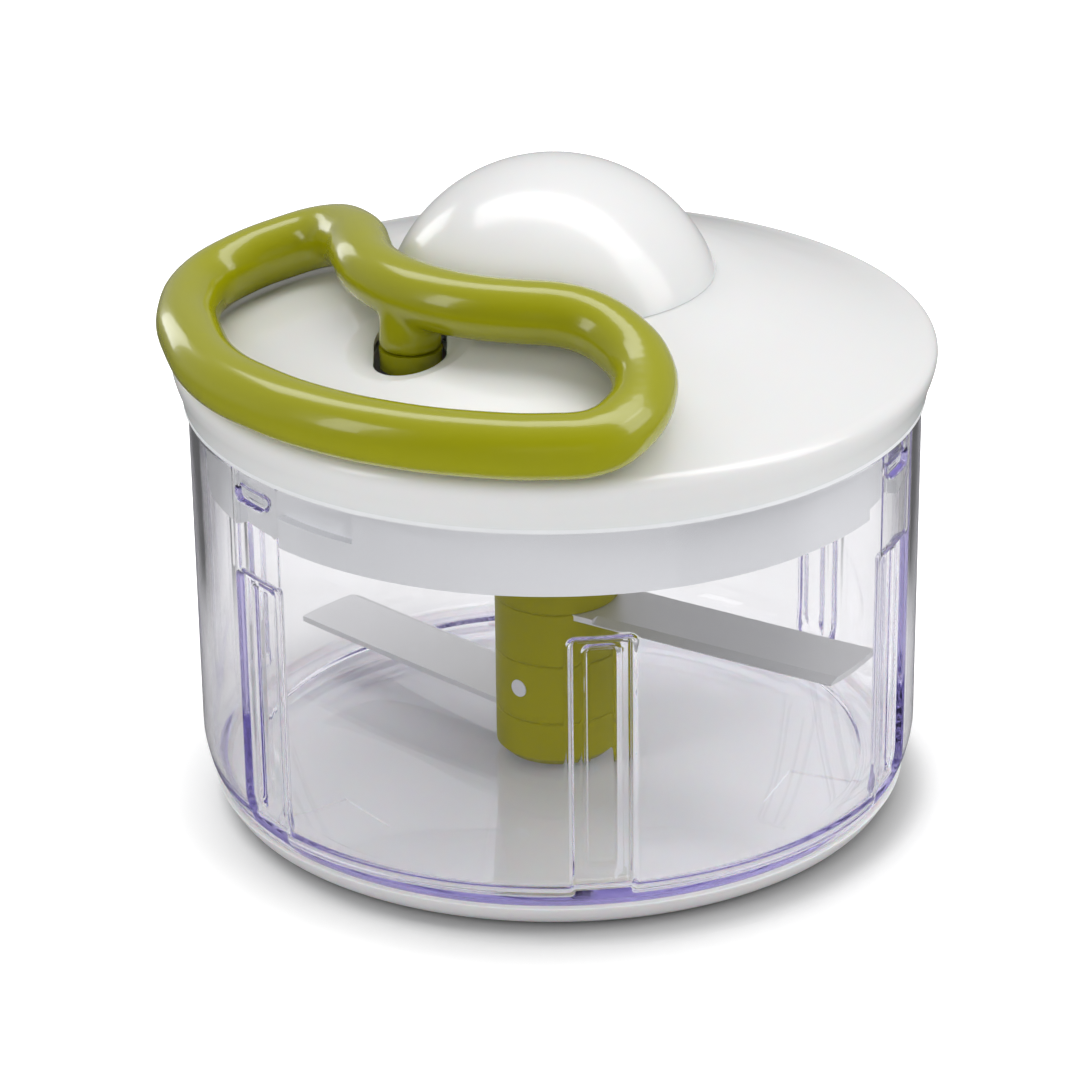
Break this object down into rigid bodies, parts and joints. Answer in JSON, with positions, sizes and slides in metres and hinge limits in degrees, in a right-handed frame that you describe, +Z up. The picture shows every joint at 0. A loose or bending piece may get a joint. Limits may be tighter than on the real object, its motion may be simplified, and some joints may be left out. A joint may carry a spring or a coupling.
{
  "type": "pull cord food chopper",
  "caption": "Pull-cord food chopper with a clear ribbed bowl, a white domed lid, steel blades on a lime hub and a lime loop handle.",
  "frame": {"origin": "centre of the foot pad's underside, on the bowl's axis", "axes": "+Z up along the bowl's axis; -Y is the front, where the loop handle lies"},
  "size_m": [0.1517, 0.155, 0.1307],
  "materials": {
    "clear_plastic": "clear",
    "milky_rubber": "milky",
    "white_plastic": "gloss",
    "white_inner": "moulded",
    "lime_plastic": "gloss",
    "blade_steel": "satin",
    "pin_steel": "turned",
    "drive_plastic": "moulded",
    "cord": "braided"
  },
  "bodies": {
    "bowl": {"bowl": "clear_plastic", "nonslip_base": "milky_rubber"},
    "lid_seal": {"lid_seal": "milky_rubber"},
    "lid": {"lid_cover": "white_plastic", "dome_cap": "white_plastic", "lid_base": "white_inner", "cord_guide": "white_inner", "spring_cup": "white_inner", "recoil_spring": "pin_steel", "reel_axle": "pin_steel", "drive_bush": "white_inner", "housing_screws": "pin_steel", "cord_lead": "cord"},
    "reel": {"reel_drum": "white_inner", "cord_winding": "cord", "clutch_pawls": "drive_plastic"},
    "drive": {"drive_shaft": "drive_plastic", "shaft_clip": "pin_steel"},
    "blade_unit": {"hub_top_cap": "lime_plastic", "hub_spacer_upper": "lime_plastic", "hub_spacer_lower": "lime_plastic", "hub_bottom": "lime_plastic", "blade_upper": "blade_steel", "blade_lower": "blade_steel", "hub_pin": "pin_steel"},
    "handle": {"handle_grip": "lime_plastic", "stem_plug": "lime_plastic", "cord_knot": "cord", "cord_tail": "cord"}
  },
  "joints": [
    {"name": "lid_lift", "type": "slide", "parent": "bowl", "child": "lid_seal", "axis": [0, 0, 1], "range_m": [0, 0.09]},
    {"name": "lid_turn", "type": "hinge", "parent": "lid_seal", "child": "lid", "pos_m": [0, 0, 0.0835], "axis": [0, 0, 1], "range_deg": [-15, 0]},
    {"name": "handle_pull", "type": "slide", "parent": "lid", "child": "handle", "axis": [0, 0, 1], "range_m": [0, 0.4], "deforming": ["cord_tail"]},
    {"name": "reel_spin", "type": "hinge", "parent": "lid", "child": "reel", "pos_m": [0, 0, 0.093], "axis": [0, 0, 1], "range_deg": [0, 1440]},
    {"name": "drive_spin", "type": "hinge", "parent": "lid", "child": "drive", "pos_m": [0, 0, 0.075], "axis": [0, 0, 1], "range_deg": [0, 1440]},
    {"name": "blade_spin", "type": "hinge", "parent": "bowl", "child": "blade_unit", "pos_m": [0, 0, 0.03], "axis": [0, 0, 1], "range_deg": [0, 1440]}
  ],
  "couplings": [
    {"joint": "reel_spin", "follows": "handle_pull", "rad_per_m": 62.832},
    {"joint": "drive_spin", "follows": "handle_pull", "rad_per_m": 62.832},
    {"joint": "blade_spin", "follows": "handle_pull", "rad_per_m": 62.832}
  ]
}
